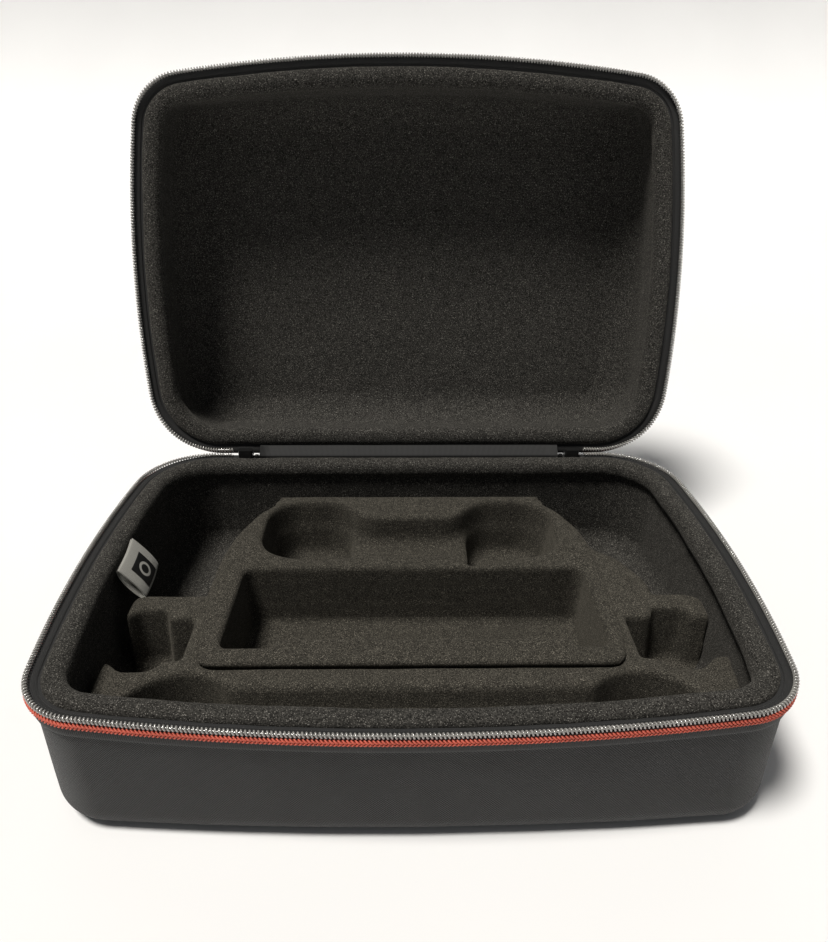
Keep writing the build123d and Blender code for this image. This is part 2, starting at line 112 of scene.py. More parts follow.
SIDE_BOW = bow_radius(BACK_Y - SIDE_Y, HALF_WIDTH - CORNER_HALF_WIDTH)


def arc(centre, radius, start, end, steps, last=False):
    turn = np.linspace(start, end, steps, endpoint=last)
    return np.c_[centre[0] + radius * np.cos(turn), centre[1] + radius * np.sin(turn)]


def front_corner(radius, inset, front_bow, side):
    """Centre of the circle that touches the side's bow and the front's bow from inside."""
    front = np.array([0, FRONT_Y + front_bow])
    side_reach = SIDE_BOW - inset - radius
    front_reach = front_bow - inset - radius
    gap = np.linalg.norm(front - side)
    unit = (front - side) / gap
    along = (side_reach**2 - front_reach**2 + gap**2) / (2 * gap)
    across = math.sqrt(side_reach**2 - along**2)
    return side + unit * along + np.array([unit[1], -unit[0]]) * across


def outline(inset, rise=1.0):
    """Closed plan outline drawn in by inset, from the back middle clockwise. Point n of any inset
    lies square in from point n of the rim. The front's bow flattens from the rim, at rise 1, to the
    floor, at rise 0."""
    corner_y = FLOOR_CORNER_Y + (FRONT_CORNER_Y - FLOOR_CORNER_Y) * rise
    front_bow = bow_radius(CORNER_HALF_WIDTH, corner_y - FRONT_Y)
    front_r = max(FRONT_RADIUS - inset, SMALLEST_RADIUS)
    back_r = max(BACK_RADIUS - inset, SMALLEST_RADIUS)
    side = np.array([HALF_WIDTH - SIDE_BOW, SIDE_Y])
    front = front_corner(front_r, inset, front_bow, side)
    back_y = BACK_Y - inset - back_r
    back = np.array([side[0] + math.sqrt((SIDE_BOW - inset - back_r) ** 2 - (back_y - SIDE_Y) ** 2), back_y])
    side_from = math.atan2(*(back - side)[::-1])
    side_to = math.atan2(*(front - side)[::-1])
    front_from = math.atan2(front[1] - FRONT_Y - front_bow, front[0])
    line_steps, back_steps, side_steps, corner_steps, front_steps = SEGMENT_STEPS
    across = np.linspace(0, back[0], line_steps, endpoint=False)
    right = np.vstack([
        np.c_[across, np.full(line_steps, BACK_Y - inset)],
        arc(back, back_r, math.pi / 2, side_from, back_steps),
        arc(side, SIDE_BOW - inset, side_from, side_to, side_steps),
        arc(front, front_r, side_to, front_from, corner_steps),
        arc((0, FRONT_Y + front_bow), front_bow - inset, front_from, -math.pi / 2, front_steps, last=True),
    ])
    left = right[-2:0:-1] * [-1, 1]
    return np.vstack([right, left])


RIM = outline(0)
RIM_COUNT = len(RIM)
RIM_ALONG = np.r_[0, np.cumsum(np.linalg.norm(np.roll(RIM, -1, 0) - RIM, axis=1))]


def half_frame(half):
    """Matrix that puts a half drawn floor-down into place: the base as it is, the lid open."""
    if half == "base":
        return Matrix.Identity(4)
    turn_over = Matrix(((-1, 0, 0, 0), (0, 1, 0, 0), (0, 0, -1, CLOSED_HEIGHT), (0, 0, 0, 1)))
    to_hinge = Matrix.Translation((0, -HINGE_Y, -HINGE_Z))
    opening = Matrix.Rotation(-OPEN_ANGLE, 4, "X")
    return to_hinge.inverted() @ opening @ to_hinge @ turn_over


def placed(points, half):
    """Points drawn in a half's own frame, moved into place."""
    matrix = np.array(half_frame(half))
    return np.asarray(points) @ matrix[:3, :3].T + matrix[:3, 3]


def opened(y, z):
    """Where a point of the closed lid stands once the lid is open."""
    dy, dz = y - HINGE_Y, z - HINGE_Z
    cos, sin = math.cos(OPEN_ANGLE), math.sin(OPEN_ANGLE)
    return (HINGE_Y + dy * cos + dz * sin, HINGE_Z - dy * sin + dz * cos)


def grid_faces(rows, columns, closed_rows=False, closed_columns=True):
    """Quads between rows of points, each row having the same number of columns."""
    r = np.arange(rows if closed_rows else rows - 1)
    c = np.arange(columns if closed_columns else columns - 1)
    r, c = (a.ravel() for a in np.meshgrid(r, c, indexing="ij"))
    r2 = (r + 1) % rows
    c2 = (c + 1) % columns
    return np.c_[r * columns + c, r * columns + c2, r2 * columns + c2, r2 * columns + c]


def new_piece(name, points, faces, material, body=None, uv=None):
    """Smooth mesh object with its material and slot, riding on a body. uv is one pair per face corner."""
    mesh = bpy.data.meshes.new(name)
    mesh.from_pydata(np.asarray(points).tolist(), [], [list(face) for face in faces])
    mesh.update()
    mesh.polygons.foreach_set("use_smooth", [True] * len(mesh.polygons))
    if uv is not None:
        mesh.uv_layers.new(name="UVMap").data.foreach_set("uv", np.asarray(uv, float).ravel())
    piece = bpy.data.objects.new(name, mesh)
    bpy.context.scene.collection.objects.link(piece)
    mesh.materials.append(material)
    if body:
        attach(piece, body)
    return piece


def joined(parts):
    """Several (points, faces) as one."""
    start, all_points, all_faces = 0, [], []
    for points, faces in parts:
        all_points.append(points)
        all_faces.append(np.asarray(faces) + start)
        start += len(points)
    return np.vstack(all_points), np.vstack(all_faces)


def ruffle(piece, size, depth, seed):
    """Pushes a piece's points along their normals by a smooth random amount: cloth isn't dead flat."""
    mesh = piece.data
    count = len(mesh.vertices)
    points, normals = np.zeros(count * 3), np.zeros(count * 3, np.float32)
    mesh.vertices.foreach_get("co", points)
    mesh.vertex_normals.foreach_get("vector", normals)
    points, normals = points.reshape(-1, 3), normals.reshape(-1, 3)
    shift = [noise.noise(Vector(p) / size + Vector((seed, 0, 0))) for p in points.tolist()]
    points += normals * (np.array(shift) * depth)[:, None]
    mesh.vertices.foreach_set("co", points.ravel())
    mesh.update()


def sweep_uv(faces, along, up):
    """Lengths along and across a swept grid as texture coordinates, with no wrap at the seam."""
    column = faces % RIM_COUNT
    row = (faces // RIM_COUNT) % len(up)
    seam = (column.max(1) == RIM_COUNT - 1) & (column.min(1) == 0)
    u = np.where(seam[:, None] & (column == 0), along[-1], along[column])
    return np.stack([u, up[row]], -1).reshape(-1, 2)


def swept(name, half, rows, material, closed=False):
    """Piece made by carrying a profile of (inset, height) rows round the rim. An open profile runs
    from the inside face's middle to the outside face's, and is closed over at both."""
    rows = np.asarray(rows, float)
    rises = np.clip(rows[:, 1] / WALL_TOP[half], 0, 1)
    points = [np.c_[outline(i, rise), np.full(RIM_COUNT, z)] for (i, z), rise in zip(rows, rises)]
    up = np.r_[0, np.cumsum(np.linalg.norm(np.diff(rows, axis=0), axis=1))]
    if not closed:
        middle = np.array([0, (BACK_Y + FRONT_Y) / 2])
        shrink = np.linspace(0.03, 1, 24)[:-1]
        reach = HALF_WIDTH - rows[0][0]
        start = [np.c_[middle + (points[0][:, :2] - middle) * s, points[0][:, 2]] for s in shrink]
        end = [np.c_[middle + (points[-1][:, :2] - middle) * s, points[-1][:, 2]] for s in shrink[::-1]]
        points = start + points + end
        up = np.r_[(shrink - 1) * reach, up, up[-1] + (1 - shrink[::-1]) * reach]
    faces = grid_faces(len(up), RIM_COUNT, closed_rows=closed)
    uv = sweep_uv(faces, RIM_ALONG, up)
    faces = faces.tolist()
    if not closed:
        last_row = (len(up) - 1) * RIM_COUNT
        faces.append(list(range(RIM_COUNT))[::-1])
        faces.append(list(range(last_row, last_row + RIM_COUNT)))
        uv = np.vstack([uv, np.zeros((2 * RIM_COUNT, 2))])
    return new_piece(name, placed(np.vstack(points), half), faces, material, half, uv)


# ---------------------------------------------------------------- materials


class Nodes:
    """A material's node tree: a principled shader, and short calls for what feeds it."""

    def __init__(self, name, roughness, **constants):
        self.material = bpy.data.materials.new(name)
        self.material.use_nodes = True
        self.tree = self.material.node_tree
        self.tree.nodes.clear()
        out = self.tree.nodes.new("ShaderNodeOutputMaterial")
        self.shader = self.tree.nodes.new("ShaderNodeBsdfPrincipled")
        self.tree.links.new(self.shader.outputs[0], out.inputs[0])
        self.shader.inputs["Roughness"].default_value = roughness
        for socket, value in constants.items():
            self.shader.inputs[socket.replace("_", " ")].default_value = value
        self.coords = self.tree.nodes.new("ShaderNodeTexCoord")

    def node(self, kind, inputs=(), **settings):
        made = self.tree.nodes.new(kind)
        for key, value in settings.items():
            setattr(made, key, value)
        for key, value in dict(inputs).items():
            if isinstance(value, bpy.types.NodeSocket):
                self.tree.links.new(value, made.inputs[key])
            else:
                made.inputs[key].default_value = value
        return made

    def noise(self, scale, detail=2.0, source="Object"):
        inputs = {"Vector": self.coords.outputs[source], "Scale": scale, "Detail": detail}
        return self.node("ShaderNodeTexNoise", inputs).outputs["Fac"]

    def math(self, operation, a, b=0.0):
        return self.node("ShaderNodeMath", {0: a, 1: b}, operation=operation).outputs[0]

    def ramp(self, factor, *stops):
        made = self.node("ShaderNodeValToRGB", {"Fac": factor})
        elements = made.color_ramp.elements
        while len(elements) < len(stops):
            elements.new(0.5)
        for element, (place, colour) in zip(elements, stops):
            element.position = place
            element.color = (*colour, 1)
        return made.outputs[0]

    def mix(self, factor, a, b, blend="MIX"):
        inputs = {0: factor, 6: a, 7: b}
        made = self.node("ShaderNodeMix", inputs, data_type="RGBA", blend_type=blend)
        return made.outputs[2]

    def uv_parts(self):
        split = self.node("ShaderNodeSeparateXYZ", {0: self.coords.outputs["UV"]})
        return split.outputs[0], split.outputs[1]

    def wave(self, value, pitch):
        """Smooth ridges, 0 to 1, that repeat every pitch."""
        turned = self.math("MULTIPLY", value, 2 * math.pi / pitch)
        return self.node("ShaderNodeMath", {0: self.math("SINE", turned), 1: 0.5, 2: 0.5}, operation="MULTIPLY_ADD").outputs[0]

    def colour(self, socket):
        self.tree.links.new(socket, self.shader.inputs["Base Color"])

    def bump(self, height, distance, strength=1.0, under=None):
        inputs = {"Height": height, "Distance": distance, "Strength": strength}
        if under is not None:
            inputs["Normal"] = under
        normal = self.node("ShaderNodeBump", inputs).outputs[0]
        self.tree.links.new(normal, self.shader.inputs["Normal"])
        return normal

    def rough(self, factor, low, high):
        inputs = {0: factor, 3: low, 4: high}
        self.tree.links.new(self.node("ShaderNodeMapRange", inputs).outputs[0], self.shader.inputs["Roughness"])


def grey(value, warm=0.0):
    """Neutral colour, tipped toward brown by warm."""
    return (value * (1 + warm), value * (1 + warm * 0.35), value * (1 - warm))


def fuzzy(name, dark, light, fleck, warm, grain, sheen, ribs=0.0):
    """Fleece or brushed velvet: mottled pile with pale flecks, and faint stretched ribs on request."""
    m = Nodes(name, 0.95, Sheen_Weight=sheen, Sheen_Roughness=0.45)
    m.shader.inputs["Sheen Tint"].default_value = (*grey(0.55, warm), 1)
    m.shader.inputs["Specular IOR Level"].default_value = 0.15
    pile = m.noise(grain, 3.0)
    clumps = m.noise(grain * 0.16, 2.0)
    flecks = m.noise(grain * 1.7, 0.0)
    body = m.ramp(pile, (0.36, grey(dark, warm)), (0.66, grey(light, warm)))
    shaded = m.mix(0.55, body, m.ramp(clumps, (0.3, grey(0.45)), (0.7, grey(1.0))), "MULTIPLY")
    sparse = m.ramp(flecks, (0.66, grey(0.0)), (0.76, grey(1.0)))
    m.colour(m.mix(sparse, shaded, (*grey(fleck, warm), 1)))
    normal = m.bump(pile, 0.35 * MM, 0.8)
    if ribs:
        along, _ = m.uv_parts()
        normal = m.bump(m.wave(along, ribs), 0.15 * MM, 0.5, normal)
    m.bump(flecks, 0.25 * MM, 0.6, normal)
    return m.material


def woven(name, pitch, dark, light, bump_depth, roughness=0.62, warm=0.02):
    """Twill: diagonal ridges broken by the crossing yarns, in the cloth's own directions."""
    m = Nodes(name, roughness, Sheen_Weight=0.12, Sheen_Roughness=0.5)
    m.shader.inputs["Specular IOR Level"].default_value = 0.35
    along, across = m.uv_parts()
    ridge = m.wave(m.math("ADD", along, across), pitch)
    yarn = m.wave(m.math("SUBTRACT", along, m.math("MULTIPLY", across, 1.0)), pitch)
    height = m.math("ADD", m.math("MULTIPLY", ridge, 0.7), m.math("MULTIPLY", yarn, 0.3))
    wear = m.noise(38.0, 4.0)
    body = m.ramp(height, (0.25, grey(dark, warm)), (0.85, grey(light, warm)))
    m.colour(m.mix(0.5, body, m.ramp(wear, (0.3, grey(0.6)), (0.75, grey(1.0))), "MULTIPLY"))
    normal = m.bump(height, bump_depth, 0.9)
    m.bump(m.noise(2600.0, 1.0), 0.06 * MM, 0.5, normal)
    m.rough(wear, roughness - 0.08, roughness + 0.12)
    return m.material


def moulded(name, colour, roughness, grain, depth, metallic=0.0, coat=0.0):
    """Plastic, rubber, foam or painted metal: even colour with a fine grain and slight wear."""
    m = Nodes(name, roughness, Metallic=metallic, Coat_Weight=coat)
    cloud = m.noise(60.0, 4.0)
    m.colour(m.ramp(cloud, (0.3, tuple(c * 0.75 for c in colour)), (0.72, tuple(min(1, c * 1.15) for c in colour))))
    m.bump(m.noise(grain, 3.0), depth, 0.8)
    m.rough(cloud, max(0.05, roughness - 0.07), min(1.0, roughness + 0.1))
    return m.material


def ribbed_cloth(name, dark, light, pitch, roughness=0.7):
    """Plain tape, binding or webbing: close ribs across its length with a fine weave over them."""
    m = Nodes(name, roughness, Sheen_Weight=0.1)
    along, across = m.uv_parts()
    ribs = m.wave(along, pitch)
    fine = m.wave(across, pitch * 0.8)
    height = m.math("ADD", m.math("MULTIPLY", ribs, 0.65), m.math("MULTIPLY", fine, 0.35))
    m.colour(m.ramp(height, (0.2, dark), (0.9, light)))
    m.bump(height, 0.2 * MM, 0.8)
    return m.material


# ---------------------------------------------------------------- cords, tubes and moulded solids


def rim_path(inset, height, outward=0.0, gap=ZIP_START, step=0.3 * MM):
    """Even points round the rim from one side of the hinge to the other, in the half's own frame, with
    the outward direction at each."""
    line, rim = outline(inset), outline(inset - MM)
    out = (rim - line) / np.linalg.norm(rim - line, axis=1)[:, None]
    keep = ~((np.abs(line[:, 0]) < gap) & (line[:, 1] > SIDE_Y))
    line, out = line[keep], out[keep]
    along = np.r_[0, np.cumsum(np.linalg.norm(np.diff(line, axis=0), axis=1))]
    want = np.arange(0, along[-1], step)
    line = np.c_[[np.interp(want, along, line[:, i]) for i in (0, 1)]].T
    out = np.c_[[np.interp(want, along, out[:, i]) for i in (0, 1)]].T
    # Away from its ends at the hinge, the trim stands a little further out
    from_end = np.clip(np.minimum(want, want[-1] - want) / (50 * MM), 0, 1)
    line += out * (from_end**2 * (3 - 2 * from_end) * outward)[:, None]
    centre = np.c_[line, np.full(len(want), height)]
    return centre, np.c_[out, np.zeros(len(want))], want


def tube(path, side, radius, sides=6, flat=1.0):
    """Round tube along a path. side is a direction across it at each point."""
    ahead = np.gradient(path, axis=0)
    ahead /= np.linalg.norm(ahead, axis=1)[:, None]
    side = side - ahead * (side * ahead).sum(1)[:, None]
    side /= np.linalg.norm(side, axis=1)[:, None]
    over = np.cross(ahead, side)
    turn = np.linspace(0, 2 * math.pi, sides, endpoint=False)
    ring = np.cos(turn)[None, :, None] * side[:, None] + np.sin(turn)[None, :, None] * over[:, None] * flat
    points = (path[:, None] + ring * radius).reshape(-1, 3)
    faces = grid_faces(len(path), sides)[:, ::-1].tolist()
    faces += [list(range(sides)), list(range(len(points) - sides, len(points)))[::-1]]
    return points, faces


def several(parts):
    """Several (points, faces) as one."""
    start, all_points, all_faces = 0, [], []
    for points, faces in parts:
        all_points.append(points)
        all_faces += [[i + start for i in face] for face in faces]
        start += len(points)
    return np.vstack(all_points), all_faces


def twisted(centre, out, along, spin, pitch, strand, lay, hand=1):
    """Strands wound round a line: spin of them, at radius lay, each of radius strand."""
    up = np.array([0, 0, 1.0])
    parts = []
    for k in range(spin):
        turn = hand * 2 * math.pi * along / pitch + 2 * math.pi * k / spin
        away = np.cos(turn)[:, None] * out + np.sin(turn)[:, None] * up
        parts.append(tube(centre + away * lay, away, strand))
    return parts


def rounded(corners, steps=7):
    """Polygon in metres from (x, y, radius) corners in millimetres, with each corner rounded."""
    corners = np.array(corners, float) * MM
    path = []
    for before, here, after in zip(np.roll(corners, 1, 0), corners, np.roll(corners, -1, 0)):
        arms = [end[:2] - here[:2] for end in (before, after)]
        sizes = [np.linalg.norm(a) for a in arms]
        cos = np.clip(arms[0] @ arms[1] / (sizes[0] * sizes[1]), -1, 1)
        cut = min(here[2] / max(math.tan(math.acos(cos) / 2), 1e-6), 0.48 * min(sizes))
        start, end = (here[:2] + a / s * cut for a, s in zip(arms, sizes))
        t = np.linspace(0, 1, steps)[:, None]
        path.append((1 - t) ** 2 * start + 2 * t * (1 - t) * here[:2] + t**2 * end)
    return np.vstack(path)


class Solid:
    """A block of space in which a moulded part is built up from signed distances, negative inside."""

    def __init__(self, low, high, step):
        self.low, self.step = np.array(low), step
        axes = [np.arange(a, b + step, step) for a, b in zip(low, high)]
        self.x, self.y = np.meshgrid(axes[0], axes[1], indexing="ij")
        self.z = axes[2][None, None, :]

    def plan(self, polygon):
        """Distance in plan from a polygon's edge."""
        best = np.full(self.x.shape, np.inf)
        inside = np.zeros(self.x.shape, bool)
        for (ax, ay), (bx, by) in zip(polygon, np.roll(polygon, -1, 0)):
            ex, ey = bx - ax, by - ay
            length = ex * ex + ey * ey
            if length < 1e-14:
                continue
            t = np.clip(((self.x - ax) * ex + (self.y - ay) * ey) / length, 0, 1)
            best = np.minimum(best, (self.x - ax - t * ex) ** 2 + (self.y - ay - t * ey) ** 2)
            if ay != by:
                inside ^= ((ay > self.y) != (by > self.y)) & (self.x < ex * (self.y - ay) / ey + ax)
        return np.where(inside, -1, 1) * np.sqrt(best)

    def disc(self, x, y, radius):
        return np.hypot(self.x - x, self.y - y) - radius

    def box(self, x, y, half_x, half_y, radius):
        """Distance in plan from a rounded rectangle, its place and size in millimetres."""
        across = np.abs(self.x - x * MM) - (half_x - radius) * MM
        along = np.abs(self.y - y * MM) - (half_y - radius) * MM
        outside = np.hypot(np.maximum(across, 0), np.maximum(along, 0))
        return outside + np.minimum(np.maximum(across, along), 0) - radius * MM

    def raised(self, plan, high, edge, draft=0.0):
        """A plan shape below a height, its top edge rounded."""
        return soft_max(plan[:, :, None] + draft * (self.z - high), self.z - high, edge)

    def carved(self, solid, plan, floor, top, edge, foot, draft=0.06):
        """The solid with a pocket sunk in it, its rim and its foot rounded."""
        wall = plan[:, :, None] + draft * (top - self.z)
        return soft_max(solid, -soft_max(wall, floor - self.z, foot), edge)

    def surface(self, field):
        """Points and quads of the surface, one point in each cell that it crosses."""
        inside = field < 0
        shape = np.array(field.shape) - 1
        total, hits = np.zeros((*shape, 3), np.float32), np.zeros(shape, np.float32)
        for axis, a, b in itertools.product(range(3), (0, 1), (0, 1)):
            first = np.insert([a, b], axis, 0)
            second = np.insert([a, b], axis, 1)
            near, far = (field[tuple(slice(o, o + n) for o, n in zip(c, shape))] for c in (first, second))
            cross = (near < 0) != (far < 0)
            place = np.where(cross, near / np.where(cross, near - far, 1), 0)
            for k in range(3):
                total[..., k] += cross * (place if k == axis else first[k])
            hits += cross
        cells = np.argwhere(hits > 0)
        number = np.full(shape, -1)
        number[hits > 0] = np.arange(len(cells))
        points = self.low + self.step * (cells + total[hits > 0] / hits[hits > 0][:, None])
        quads = []
        for axis in range(3):
            one, two = (axis + 1) % 3, (axis + 2) % 3
            near = np.take(inside, range(shape[axis]), axis)
            far = np.take(inside, range(1, shape[axis] + 1), axis)
            at = np.argwhere(near != far)
            at = at[(at[:, one] > 0) & (at[:, one] < shape[one]) & (at[:, two] > 0) & (at[:, two] < shape[two])]
            corners = []
            for da, db in ((1, 1), (0, 1), (0, 0), (1, 0)):
                cell = at.copy()
                cell[:, one] -= da
                cell[:, two] -= db
                corners.append(number[tuple(cell.T)])
            quad = np.stack(corners, 1)
            flip = ~near[tuple(at.T)]
            quad[flip] = quad[flip][:, ::-1]
            quads.append(quad)
        return points, np.vstack(quads).tolist()


def soft_max(a, b, k):
    h = np.maximum(k - np.abs(a - b), 0) / k
    return np.maximum(a, b) + h * h * k / 4


def soft_min(a, b, k):
    return -soft_max(-a, -b, k)


# ---------------------------------------------------------------- the finishes

OUTER_CLOTH = woven("outer_twill", 1.3 * MM, 0.004, 0.02, 0.3 * MM)
FLEECE = fuzzy("lining_fleece", 0.012, 0.06, 0.2, 0.08, 1250.0, 0.1)
VELVET = fuzzy("insert_velvet", 0.018, 0.072, 0.2, 0.14, 1500.0, 0.12)
TRAY_VELVET = fuzzy("tray_velvet", 0.016, 0.066, 0.19, 0.14, 1500.0, 0.12)
FOAM = moulded("wall_foam", grey(0.02), 0.9, 900.0, 0.2 * MM)
SOFT_FOAM = moulded("padding_foam", grey(0.05), 0.95, 600.0, 0.4 * MM)
BINDING = ribbed_cloth("rim_binding", grey(0.005, 0.03), grey(0.012, 0.03), 0.9 * MM)
ZIP_TAPE = ribbed_cloth("zip_tape", grey(0.003), grey(0.008), 0.8 * MM)
# The coil's base colour is light grey, but the real coil is black: this is painted highlight, standing in for the
# bright glints along its loops.
COIL = moulded("zip_coil", grey(0.3, 0.05), 0.3, 400.0, 0.02 * MM, coat=1.0)
COIL.node_tree.nodes["Principled BSDF"].inputs["Coat IOR"].default_value = 2.0
PIPING = moulded("red_piping", (0.62, 0.12, 0.075), 0.6, 2500.0, 0.1 * MM)
LABEL = ribbed_cloth("label_satin", (0.42, 0.41, 0.37), (0.62, 0.61, 0.56), 0.35 * MM, 0.4)
HINGE_CLOTH = ribbed_cloth("hinge_cloth", grey(0.008), grey(0.02), 0.8 * MM)
METAL = moulded("slider_metal", grey(0.03), 0.35, 900.0, 0.02 * MM, metallic=0.6, coat=0.3)
RIVET = moulded("rivet_metal", grey(0.05), 0.35, 900.0, 0.02 * MM, metallic=0.8)
RUBBER = moulded("grip_rubber", grey(0.024), 0.55, 1500.0, 0.05 * MM)
WEBBING = ribbed_cloth("handle_webbing", grey(0.01), grey(0.03), 1.3 * MM)
PATCH = moulded("patch_rubber", grey(0.024), 0.6, 1200.0, 0.08 * MM)


def label_ink():
    """Dark printed square with a plain pale ring as its mark."""
    m = Nodes("label_print", 0.5)
    along, across = m.uv_parts()
    from_middle = m.node("ShaderNodeVectorMath", {0: m.coords.outputs["UV"], 1: (0.5, 0.5, 0)}, operation="DISTANCE")
    ring = m.math("ABSOLUTE", m.math("SUBTRACT", from_middle.outputs["Value"], 0.24))
    mark = m.ramp(ring, (0.045, (0.5, 0.49, 0.45)), (0.06, (0.012, 0.012, 0.012)))
    m.colour(m.mix(0.4, mark, m.ramp(m.noise(3000.0), (0.3, grey(0.6)), (0.7, grey(1.0))), "MULTIPLY"))
    m.bump(m.wave(across, 0.025), 0.03 * MM, 0.4)
    return m.material


INK = label_ink()


# ---------------------------------------------------------------- walls, lining and rim trim


def wall_profile(inset, floor, wall_top, high, steps=14, radius=None):
    """Rows up a drafted wall from the floor, round the edge at its foot."""
    radius = radius or EDGE_RADIUS - floor
    rows = []
    for turn in np.linspace(0, math.pi / 2, steps):
        height = floor + radius * (1 - math.cos(turn))
        rows.append((inset + DRAFT * (1 - height / wall_top) + radius * (1 - math.sin(turn)), height))
    for height in np.linspace(floor + radius, high, steps)[1:]:
        rows.append((inset + DRAFT * (1 - height / wall_top), height))
    return rows


# The rolled lip from the cavity wall over its crown to the zip, as inset and height over the wall
LIP = [
    (15.0, -8.6), (15.3, -7.4), (16.2, -6.6), (16.9, -5.4), (17.2, -3.6), (17.0, -1.6), (16.5, 0.2),
    (15.6, 1.4), (14.3, 2.3), (12.6, 2.8), (10.6, 2.9), (8.8, 2.7), (7.6, 2.2), (6.9, 1.5), (6.5, 0.7),
    (6.4, 0.0), (6.6, -0.6),
]

SOFT_FOOT = {"base": 12 * MM, "lid": 20 * MM}
for half, top in WALL_TOP.items():
    outside = wall_profile(COVER_INSET, 0.0, top, top)
    inside = wall_profile(COVER_INSET + COVER, COVER, top, top)
    cover = swept(f"{half}_cover_cloth", half, inside + outside[::-1], OUTER_CLOTH)
    ruffle(cover, 34 * MM, 0.3 * MM, 3 if half == "base" else 8)
    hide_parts(f"{half}_cover")

    lip = [(i * MM, top + h * MM) for i, h in LIP]
    visible = wall_profile(CAVITY_INSET, FLOOR, top, top - 9.6 * MM, 22, SOFT_FOOT[half])
    behind = wall_profile(LINING_INSET, SHELL_FLOOR, top, top - LIP_BELOW)
    back = [(PADDING_INSET + 0.5 * MM, top - LIP_BELOW), (PADDING_INSET, top - 0.6 * MM)]
    lining = swept(f"{half}_lining_fleece", half, visible + lip + back[::-1] + behind[::-1], FLEECE)
    ruffle(lining, 22 * MM, 0.45 * MM, 1 if half == "base" else 6)
    ruffle(lining, 4.5 * MM, 0.16 * MM, 2)
    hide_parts(f"{half}_lining")

    pad_in = wall_profile(LINING_INSET + 0.05 * MM, SHELL_FLOOR + 2 * MM, top, top - LIP_BELOW - 0.1 * MM)
    pad_out = wall_profile(PADDING_INSET + 0.05 * MM, SHELL_FLOOR + 2 * MM, top, top - LIP_BELOW - 0.1 * MM)
    padding = swept(f"{half}_wall_padding", half, pad_in + pad_out[::-1], SOFT_FOAM, closed=True)
    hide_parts(f"{half}_padding")

    band = [(2.9, -8.6), (2.2, -8.5), (1.5, -7.9), (1.1, -6.6), (1.0, -4.4), (1.1, -3.0), (1.5, -2.4), (2.5, -2.2)]
    band_rows = [(i * MM, top + h * MM) for i, h in band]
    binding = swept(f"{half}_rim_binding", half, band_rows, BINDING, closed=True)
    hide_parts(f"{half}_binding")

    tape = [(1.2, -2.6), (0.9, -1.2), (0.4, 0.1), (0.8, 0.7), (2.6, 0.75), (4.6, 0.6), (5.2, 0.1), (5.2, -0.6)]
    tape_rows = [(i * MM, top + h * MM) for i, h in tape]
    zip_tape = swept(f"{half}_zip_tape_cloth", half, tape_rows, ZIP_TAPE, closed=True)
    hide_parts(f"{half}_zip_tape")

    centre, out, along = rim_path(COIL_INSET, top + TAPE + COIL_RADIUS, COIL_OUTWARD, step=0.16 * MM)
    coil = twisted(centre, out, along, 1, 1.7 * MM, 0.46 * MM, COIL_RADIUS - 0.46 * MM)
    core_centre, core_out, _ = rim_path(COIL_INSET, top + TAPE + COIL_RADIUS, COIL_OUTWARD, step=1.5 * MM)
    core = tube(core_centre, core_out, 0.35 * MM, 8)
    points, faces = several([*coil, core])
    teeth = new_piece(f"{half}_zip_teeth", placed(points, half), faces, COIL, half)
    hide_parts(f"{half}_zip_coil")

# The red trim under the base's zip: two small cords, laid in opposite hands
strands = []
for inset, height, hand in ((0.1, -0.7, 1), (0.25, -2.1, -1)):
    centre, out, along = rim_path(inset * MM, WALL_TOP["base"] + height * MM)
    strands += twisted(centre, out, along, 2, 3.4 * MM, 0.42 * MM, 0.5 * MM, hand)
points, faces = several(strands)
piping = new_piece("red_trim_cords", points, faces, PIPING, "base")
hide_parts("base_piping")


# ---------------------------------------------------------------- the moulded insert and the tray

INSERT_TOP = 43.5 * MM
TRAY_TOP = 46.9 * MM
TRAY_FLANGE = 3.0 * MM
TRAY_SEAT = 3.2 * MM
GRID = 1.2 * MM

TRAY_PLAN = rounded([
    (-101.5, -57.5, 10), (101.5, -57.5, 10), (105, -30, 60), (105.8, 4, 200), (104.5, 34, 80), (101, 56, 40),
    (92.5, 76, 30), (82, 89, 5), (83, 96.2, 2), (-83, 96.2, 2), (-82, 89, 5), (-92.5, 76, 30), (-101, 56, 40),
    (-104.5, 34, 80), (-105.8, 4, 200), (-105, -30, 60),
])

# Distances are clipped by the space, so it reaches a little past the part all round
space = Solid((-0.158, -0.114, 0.002), (0.158, 0.104, 0.052), GRID)
tray_plan = space.plan(TRAY_PLAN)
block_plan = space.plan(rounded([(-146.5, -125, 5), (154.5, -125, 5), (154.5, -4, 6), (146, -0.5, 6), (-146.5, -0.5, 7)]))
lobe_plan = space.plan(rounded([(96, -6, 1), (130, -6, 2), (129.5, 11, 26), (119, 32, 30), (100, 47, 4)]))
plan = soft_min(np.minimum(block_plan, tray_plan - TRAY_SEAT), lobe_plan, 3 * MM)
insert = space.raised(plan, INSERT_TOP, 3.5 * MM)
insert = space.carved(insert, tray_plan + MM, 0.0, INSERT_TOP, 2 * MM, MM, draft=0.0)
for side in (-1, 1):
    pocket = rounded([
        (side * 110, -50.3, 6), (side * 110, -19.8, 3), (side * 123.5, -19.8, 3), (side * 126, -12.2, 4),
        (side * 141, -12.8, 5), (side * 146.5, -19, 4), (side * 175, -27, 1), (side * 175, -48.5, 1),
        (side * 146, -49.5, 6), (side * 137, -57.8, 10), (side * 123.5, -57.8, 10), (side * 117, -50.3, 5),
    ])
    insert = space.carved(insert, space.plan(pocket), 9 * MM, INSERT_TOP, 3.2 * MM, 6 * MM)
    arch = space.disc(side * 105 * MM, -88 * MM, 28.5 * MM)
    insert = space.carved(insert, arch, 12 * MM, INSERT_TOP, 3.2 * MM, 8 * MM, draft=0.1)
channel = space.plan(rounded([(-106, -69, 3), (106, -69, 3), (106, -130, 3), (-106, -130, 3)]))
